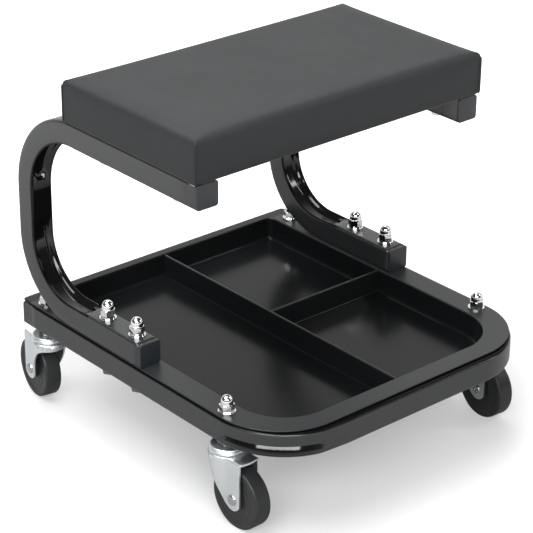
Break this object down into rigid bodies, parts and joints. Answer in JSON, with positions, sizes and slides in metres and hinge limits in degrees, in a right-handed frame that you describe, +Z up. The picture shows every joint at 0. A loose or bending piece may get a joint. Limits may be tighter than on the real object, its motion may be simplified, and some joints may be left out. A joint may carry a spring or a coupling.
{
  "type": "mechanics creeper",
  "caption": "Rolling creeper seat: a padded rectangular seat on two C-shaped square-tube legs over a U-shaped tube base with a divided tool tray and swivel casters.",
  "frame": {"origin": "on the floor, in the middle of the whole width and length at rest", "axes": "+Z up; -Y is the open front, where the base tube's rounded bends are; +X is to the right of someone facing +Y"},
  "size_m": [0.365, 0.4214, 0.377],
  "materials": {
    "frame_paint": "satin black powder coat",
    "plug_plastic": "fine moulded grain",
    "tray_plastic": "glossy moulded black plastic",
    "nut_chrome": "polished chrome plate",
    "zinc_hardware": "bright zinc plate",
    "ball_steel": "polished, greased",
    "fork_zinc": "bright zinc-plated pressed sheet",
    "wheel_plastic": "smooth dark moulded plastic",
    "plywood": "raw plywood",
    "foam": "open-cell foam",
    "vinyl": "charcoal vinyl with a fine grain"
  },
  "bodies": {
    "frame": {"base_tube": "frame_paint", "base_plug_left": "plug_plastic", "base_plug_right": "plug_plastic", "tool_tray": "tray_plastic", "leg_left": "frame_paint", "leg_right": "frame_paint", "leg_plug_upper_left": "plug_plastic", "leg_plug_upper_right": "plug_plastic", "leg_plug_lower_left": "plug_plastic", "leg_plug_lower_right": "plug_plastic", "leg_bolts": "zinc_hardware", "leg_bolt_washers": "zinc_hardware", "leg_nut_washers": "nut_chrome", "leg_spring_washers": "zinc_hardware", "leg_cap_nuts": "nut_chrome", "caster_nut_washers": "nut_chrome", "caster_cap_nuts": "nut_chrome", "seat_board": "plywood", "seat_foam": "foam", "seat_cover": "vinyl", "seat_staples": "zinc_hardware", "seat_t_nuts": "zinc_hardware", "seat_bolts": "zinc_hardware", "seat_bolt_washers": "zinc_hardware", "stem_front_left": "zinc_hardware", "race_front_left": "zinc_hardware", "balls_front_left": "ball_steel", "stem_front_right": "zinc_hardware", "race_front_right": "zinc_hardware", "balls_front_right": "ball_steel", "stem_rear_left": "zinc_hardware", "race_rear_left": "zinc_hardware", "balls_rear_left": "ball_steel", "stem_rear_right": "zinc_hardware", "race_rear_right": "zinc_hardware", "balls_rear_right": "ball_steel"},
    "fork_front_left": {"fork_front_left": "fork_zinc", "sleeve_front_left": "zinc_hardware", "rivet_front_left": "fork_zinc"},
    "wheel_front_left": {"wheel_front_left": "wheel_plastic"},
    "fork_front_right": {"fork_front_right": "fork_zinc", "sleeve_front_right": "zinc_hardware", "rivet_front_right": "fork_zinc"},
    "wheel_front_right": {"wheel_front_right": "wheel_plastic"},
    "fork_rear_left": {"fork_rear_left": "fork_zinc", "sleeve_rear_left": "zinc_hardware", "rivet_rear_left": "fork_zinc"},
    "wheel_rear_left": {"wheel_rear_left": "wheel_plastic"},
    "fork_rear_right": {"fork_rear_right": "fork_zinc", "sleeve_rear_right": "zinc_hardware", "rivet_rear_right": "fork_zinc"},
    "wheel_rear_right": {"wheel_rear_right": "wheel_plastic"}
  },
  "joints": [
    {"name": "swivel_front_left", "type": "hinge", "parent": "frame", "child": "fork_front_left", "pos_m": [-0.165, -0.12872, 0.073], "axis": [0, 0, 1], "continuous": true},
    {"name": "roll_front_left", "type": "hinge", "parent": "fork_front_left", "child": "wheel_front_left", "pos_m": [-0.16462, -0.15022, 0.0315], "axis": [-0.9998, -0.0175, 0], "continuous": true},
    {"name": "swivel_front_right", "type": "hinge", "parent": "frame", "child": "fork_front_right", "pos_m": [0.165, -0.12872, 0.073], "axis": [0, 0, 1], "continuous": true},
    {"name": "roll_front_right", "type": "hinge", "parent": "fork_front_right", "child": "wheel_front_right", "pos_m": [0.16313, -0.15014, 0.0315], "axis": [-0.9962, 0.0872, 0], "continuous": true},
    {"name": "swivel_rear_left", "type": "hinge", "parent": "frame", "child": "fork_rear_left", "pos_m": [-0.165, 0.15728, 0.073], "axis": [0, 0, 1], "continuous": true},
    {"name": "roll_rear_left", "type": "hinge", "parent": "fork_rear_left", "child": "wheel_rear_left", "pos_m": [-0.16164, 0.17851, 0.0315], "axis": [0.9877, -0.1564, 0], "continuous": true},
    {"name": "swivel_rear_right", "type": "hinge", "parent": "frame", "child": "fork_rear_right", "pos_m": [0.165, 0.15728, 0.073], "axis": [0, 0, 1], "continuous": true},
    {"name": "roll_rear_right", "type": "hinge", "parent": "fork_rear_right", "child": "wheel_rear_right", "pos_m": [0.16201, 0.17857, 0.0315], "axis": [0.9903, 0.1392, 0], "continuous": true}
  ]
}
